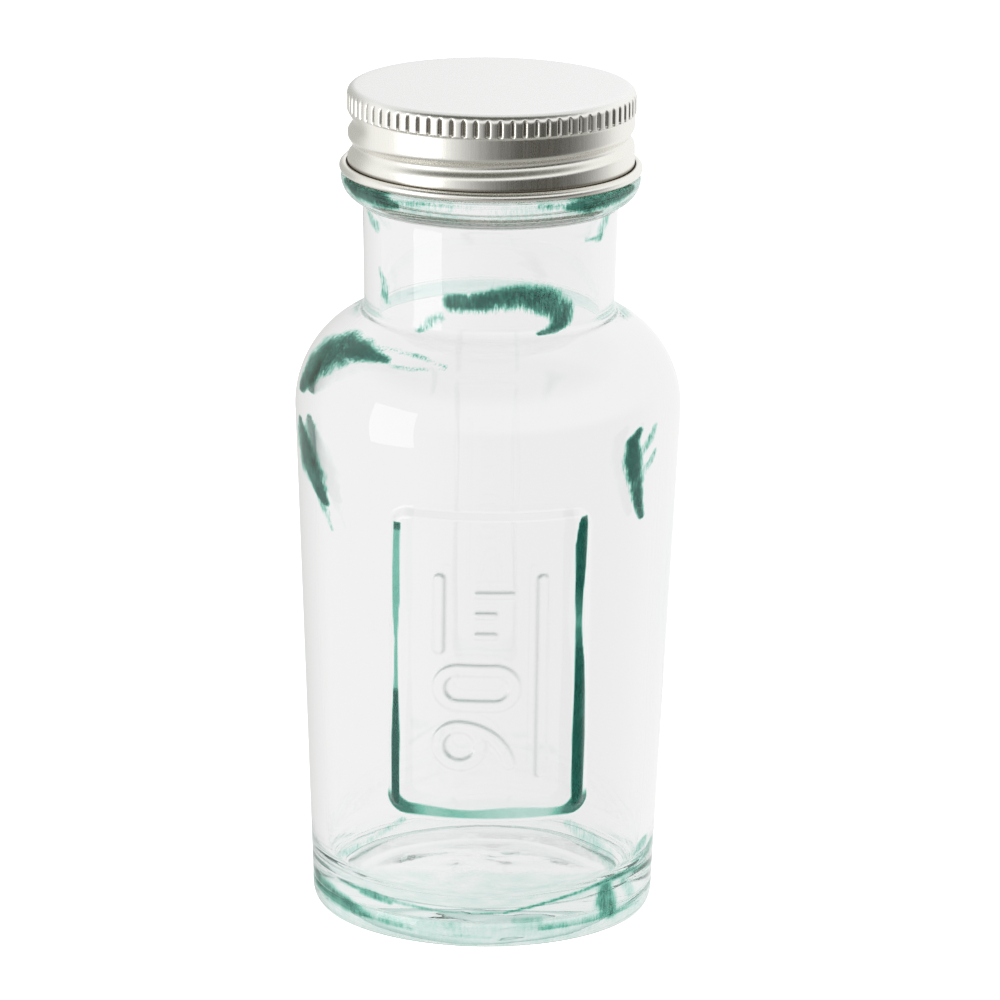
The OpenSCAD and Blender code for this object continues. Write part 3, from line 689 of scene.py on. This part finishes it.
def calculated(tree, operation, a, b):
    """An operation on two outputs or numbers."""
    made = node(tree, "ShaderNodeMath")
    made.operation = operation
    feed(tree, made.inputs[0], a)
    feed(tree, made.inputs[1], b)
    return made.outputs[0]


def mixed(tree, factor, a, b, blend="MIX"):
    """Two colours blended by a factor."""
    made = node(tree, "ShaderNodeMix")
    made.data_type, made.blend_type = "RGBA", blend
    for key, value in (("Factor", factor), ("A", a), ("B", b)):
        feed(tree, made.inputs[key], value)
    return made.outputs["Result"]


def mapped(tree, value, low, high, to_low=0.0, to_high=1.0, kind="LINEAR"):
    """A value brought from one range to another."""
    made = node(tree, "ShaderNodeMapRange", From_Min=low, From_Max=high, To_Min=to_low, To_Max=to_high)
    made.interpolation_type = kind
    tree.links.new(value, made.inputs["Value"])
    return made.outputs["Result"]


def ramped(tree, value, stops):
    """A colour between stops, each a position and a colour."""
    made = node(tree, "ShaderNodeValToRGB")
    row = made.color_ramp.elements
    for end, (at, colour) in ((row[0], stops[0]), (row[1], stops[-1])):
        end.position, end.color = at, (*colour, 1)
    for at, colour in stops[1:-1]:
        row.new(at).color = (*colour, 1)
    tree.links.new(value, made.inputs["Fac"])
    return made.outputs["Color"]


def painted(tree, name):
    """What is painted on the mesh under a name."""
    made = node(tree, "ShaderNodeAttribute")
    made.attribute_name = name
    return made.outputs["Fac"]


def squeezed(tree, place, share):
    """Coordinates with z brought down to a share, which draws a texture out along it."""
    made = node(tree, "ShaderNodeMapping", Scale=(1, 1, share))
    tree.links.new(place, made.inputs["Vector"])
    return made.outputs[0]


def textured(tree, kind, place, **sockets):
    """The first value of a texture at a place."""
    made = node(tree, kind, **sockets)
    tree.links.new(place, made.inputs["Vector"])
    return made.outputs[0]


def split(tree, place):
    """The three parts of coordinates, by their letters."""
    made = node(tree, "ShaderNodeSeparateXYZ")
    tree.links.new(place, made.inputs[0])
    return made.outputs


def raise_surface(tree, shader, height, strength, distance):
    """Lets a texture stand out of a shader's surface, as a bump."""
    made = node(tree, "ShaderNodeBump", Strength=strength, Distance=distance)
    tree.links.new(height, made.inputs["Height"])
    tree.links.new(made.outputs[0], shader.inputs["Normal"])


def swing(tree, texture, share):
    """A texture's values as a swing about 0, to a share."""
    return calculated(tree, "MULTIPLY", calculated(tree, "SUBTRACT", texture, 0.5), share)


def ragged_by(tree, depth, ragged, share):
    """A painted depth made ragged by a share."""
    return calculated(tree, "ADD", depth, calculated(tree, "MULTIPLY", ragged, share))


def glass_material():
    """Faintly green recycled glass with fine ripples, and painted refraction shade: darker green streaks, deep
    bands on the panel's edges and shade on the marks' slopes.
    """
    m, tree, shader = material("green_glass", Roughness=0.0, IOR=1.5, Transmission_Weight=1.0)
    absorb = node(tree, "ShaderNodeVolumeAbsorption", Color=GLASS_DEEP, Density=GLASS_DENSITY)
    tree.links.new(absorb.outputs[0], tree.nodes["Material Output"].inputs["Volume"])
    place = node(tree, "ShaderNodeTexCoord").outputs["Object"]
    drawn = squeezed(tree, place, HAIR_SQUEEZE)
    hair = textured(tree, "ShaderNodeTexNoise", drawn, Scale=HAIR_SCALE, Detail=3, Roughness=0.6)
    clumps = textured(tree, "ShaderNodeTexNoise", place, Scale=CLUMP_SCALE, Detail=3, Roughness=0.55)
    ragged = calculated(tree, "ADD", swing(tree, hair, HAIR_SHARE), swing(tree, clumps, CLUMP_SHARE))
    streak, band = painted(tree, "streak"), painted(tree, "band")
    calm = mapped(tree, split(tree, place)["Z"], CALM_FROM, CALM_TO, CALM)
    edge = calculated(tree, "MINIMUM", calculated(tree, "MULTIPLY", streak, EDGE_GAIN), EDGE_MOST)
    streak = ragged_by(tree, streak, ragged, calculated(tree, "MULTIPLY", edge, calm))
    band = ragged_by(tree, band, ragged, calculated(tree, "MULTIPLY", band, BAND_EDGE))
    # Painted refraction shade of the streaks and the panel's bands, over the even green of the base and bead
    tint = ramped(tree, calculated(tree, "MAXIMUM", streak, band), REFRACTION_SHADE_TINTS)
    # Painted shade on the marks' slopes
    lines = ramped(tree, painted(tree, "outline"), MARK_SHADE_TINTS)
    tree.links.new(mixed(tree, 1.0, tint, lines, "MULTIPLY"), shader.inputs["Base Color"])
    ripple = textured(tree, "ShaderNodeTexNoise", drawn, Scale=RIPPLE_SCALE, Detail=2)
    raise_surface(tree, shader, ripple, RIPPLE_BUMP, RIPPLE_H)
    return m


def lid_material():
    """Satin aluminium, warm and finely lined down its side, whiter on its top, with painted shade between the
    knurls and behind the curl.
    """
    m, tree, shader = material("satin_aluminium", Metallic=1.0)
    place = node(tree, "ShaderNodeTexCoord").outputs["Object"]
    height = mapped(tree, split(tree, place)["Z"], (LID_Z - LID_BLEND) * MM, LID_Z * MM)
    # Painted shade between the knurls and behind the curl darkens the metal's colour
    colour = mixed(tree, painted(tree, "recess"), mixed(tree, height, LID_SIDE, LID_TOP), LID_SHADE)
    tree.links.new(colour, shader.inputs["Base Color"])
    drawn = squeezed(tree, place, LINE_SQUEEZE)
    lines = textured(tree, "ShaderNodeTexNoise", drawn, Scale=LINE_SCALE, Detail=3)
    tree.links.new(mapped(tree, lines, 0.0, 1.0, *LINE_ROUGH), shader.inputs["Roughness"])
    raise_surface(tree, shader, lines, LINE_BUMP, LINE_H)
    return m


def liner_material():
    """Matt white foam with fine cells."""
    m, tree, shader = material("foam", Roughness=0.8)
    place = node(tree, "ShaderNodeTexCoord").outputs["Object"]
    cells = textured(tree, "ShaderNodeTexVoronoi", place, Scale=CELL_SCALE)
    tree.links.new(mixed(tree, cells, FOAM_MIDDLE, FOAM_EDGE), shader.inputs["Base Color"])
    raise_surface(tree, shader, cells, CELL_BUMP, CELL_H)
    return m


jar = shell("jar_glass", glass_rows, glass_columns, bend_glass, glass_material(), paint_glass)
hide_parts("jar")
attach(jar, "jar")

lid = shell("lid_shell", lid_rows, lid_columns, bend_lid, lid_material(), paint_lid)
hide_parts("lid")
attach(lid, "lid")

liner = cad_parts["liner"]
liner.data.materials.clear()
liner.data.materials.append(liner_material())


def add_camera():
    """The photograph's view."""
    data = bpy.data.cameras.new("camera")
    data.sensor_width = SENSOR_MM
    data.lens = CAM_FOCAL_PX * SENSOR_MM / FRAME_PX
    p, w, r = (math.radians(a) for a in (CAM_PITCH, CAM_YAW, CAM_ROLL))
    right = Vector((math.cos(w), -math.sin(w), 0))
    ahead = Vector((math.sin(w) * math.cos(p), math.cos(w) * math.cos(p), -math.sin(p)))
    up = right.cross(ahead)
    side, top = right * math.cos(r) + up * math.sin(r), up * math.cos(r) - right * math.sin(r)
    camera = bpy.data.objects.new("camera", data)
    rows = Matrix((side, top, -ahead)).transposed().to_4x4()
    rows.translation = Vector((0, -CAM_BACK, CAM_UP))
    camera.matrix_world = rows
    bpy.context.collection.objects.link(camera)
    bpy.context.scene.camera = camera


# Height in metres that the soft light aims at, and half the floor's side
LIGHT_AIM, FLOOR_HALF = 0.08, 4.0

# Light bounces inside the glass: fewer leave black arcs
BOUNCES = 64

# What shows through glass: white, and green overhead. A range runs from where a change starts to its end
SKY_DARK = (0.42, 0.72)
SKY_WHITE, SKY_GREEN = (0.885, 0.875, 0.878), (0.55, 0.67, 0.64)

# What shines back round about: light, greyer at the back left, dim at the front right below the horizon
ROOM_DARK_AT, ROOM_DARK, ROOM_DARK_TOP = 39.0, (0.06, 1.02), (0.0, 0.18)
ROOM_GREY_AT, ROOM_GREY = -148.0, (0.78, 0.98)
ROOM_DIM, ROOM_SIDE, ROOM_LIGHT = (0.05, 0.046, 0.036), (0.52, 0.52, 0.50), (0.98, 0.98, 0.98)

# What shines back above and below: a ceiling, dark at the front and light at the back, and a grey table
ROOM_UP, ROOM_DOWN, TABLE = (0.50, 0.78), (0.45, 0.75), (0.42, 0.42, 0.40)
CEILING_BACK, CEILING_DARK, CEILING_LIGHT = (-0.1, 0.25), (0.08, 0.08, 0.06), (0.80, 0.80, 0.79)

# What the camera sees behind the jar
BACKDROP = (1.0, 1.0, 1.0)


def add_softbox(name, azimuth, height, distance, width, tall, power):
    """A soft light on the jar, not seen through glass. Azimuth 0 is the front and 90 is the right."""
    data = bpy.data.lights.new(name, "AREA")
    data.shape, data.size, data.size_y, data.energy = "RECTANGLE", width, tall, power
    a = math.radians(azimuth)
    at = Vector((distance * math.sin(a), -distance * math.cos(a), height))
    light = bpy.data.objects.new(name, data)
    light.location = at
    light.rotation_euler = (at - Vector((0, 0, LIGHT_AIM))).to_track_quat("Z", "Y").to_euler()
    light.visible_transmission = False
    bpy.context.collection.objects.link(light)


def add_floor():
    """A pale floor, evenly lit, that neither shines back nor shows through the glass."""
    mesh = bpy.data.meshes.new("floor")
    s = FLOOR_HALF
    mesh.from_pydata([(-s, -s, 0), (s, -s, 0), (s, s, 0), (-s, s, 0)], [], [(0, 1, 2, 3)])
    mesh.materials.append(material("floor_white", Base_Color=(0.9, 0.9, 0.9, 1), Roughness=0.9,
                                   Emission_Color=(1, 1, 1, 1), Emission_Strength=1.0)[0])
    floor = bpy.data.objects.new("floor", mesh)
    bpy.context.collection.objects.link(floor)
    floor.visible_glossy = False
    floor.visible_transmission = False


def add_world():
    """What shows through the glass, what shines back, and the white that the camera sees behind the jar."""
    world = bpy.data.worlds.new("studio")
    bpy.context.scene.world = world
    world.use_nodes = True
    tree = world.node_tree
    parts = split(tree, node(tree, "ShaderNodeTexCoord").outputs["Generated"])
    ray = node(tree, "ShaderNodeLightPath").outputs

    def rising(value, low, high):
        return mapped(tree, value, low, high, kind="SMOOTHSTEP")

    def toward(azimuth):
        a = math.radians(azimuth)
        return calculated(tree, "ADD", calculated(tree, "MULTIPLY", parts["X"], math.sin(a)),
                          calculated(tree, "MULTIPLY", parts["Y"], -math.cos(a)))

    through = mixed(tree, rising(parts["Z"], *SKY_DARK), SKY_WHITE, SKY_GREEN)
    mirrored = mixed(tree, rising(toward(ROOM_GREY_AT), *ROOM_GREY), ROOM_LIGHT, ROOM_SIDE)
    below = calculated(tree, "SUBTRACT", 1.0, rising(parts["Z"], *ROOM_DARK_TOP))
    dark = calculated(tree, "MULTIPLY", rising(toward(ROOM_DARK_AT), *ROOM_DARK), below)
    mirrored = mixed(tree, dark, mirrored, ROOM_DIM)
    overhead = mixed(tree, rising(parts["Y"], *CEILING_BACK), CEILING_DARK, CEILING_LIGHT)
    mirrored = mixed(tree, rising(parts["Z"], *ROOM_UP), mirrored, overhead)
    down = calculated(tree, "MULTIPLY", parts["Z"], -1.0)
    mirrored = mixed(tree, rising(down, *ROOM_DOWN), mirrored, TABLE)
    seen = mixed(tree, ray["Is Glossy Ray"], through, mirrored)
    seen = mixed(tree, ray["Is Transmission Ray"], seen, through)
    seen = mixed(tree, ray["Is Camera Ray"], seen, BACKDROP)
    tree.links.new(seen, tree.nodes["Background"].inputs["Color"])


add_camera()
add_floor()
add_softbox("softbox_left", azimuth=-58, height=0.12, distance=0.8, width=0.42, tall=0.50, power=1.15)
add_world()
bpy.context.scene.view_settings.view_transform = "Standard"
cycles = bpy.context.scene.cycles
cycles.max_bounces = cycles.transmission_bounces = cycles.glossy_bounces = BOUNCES
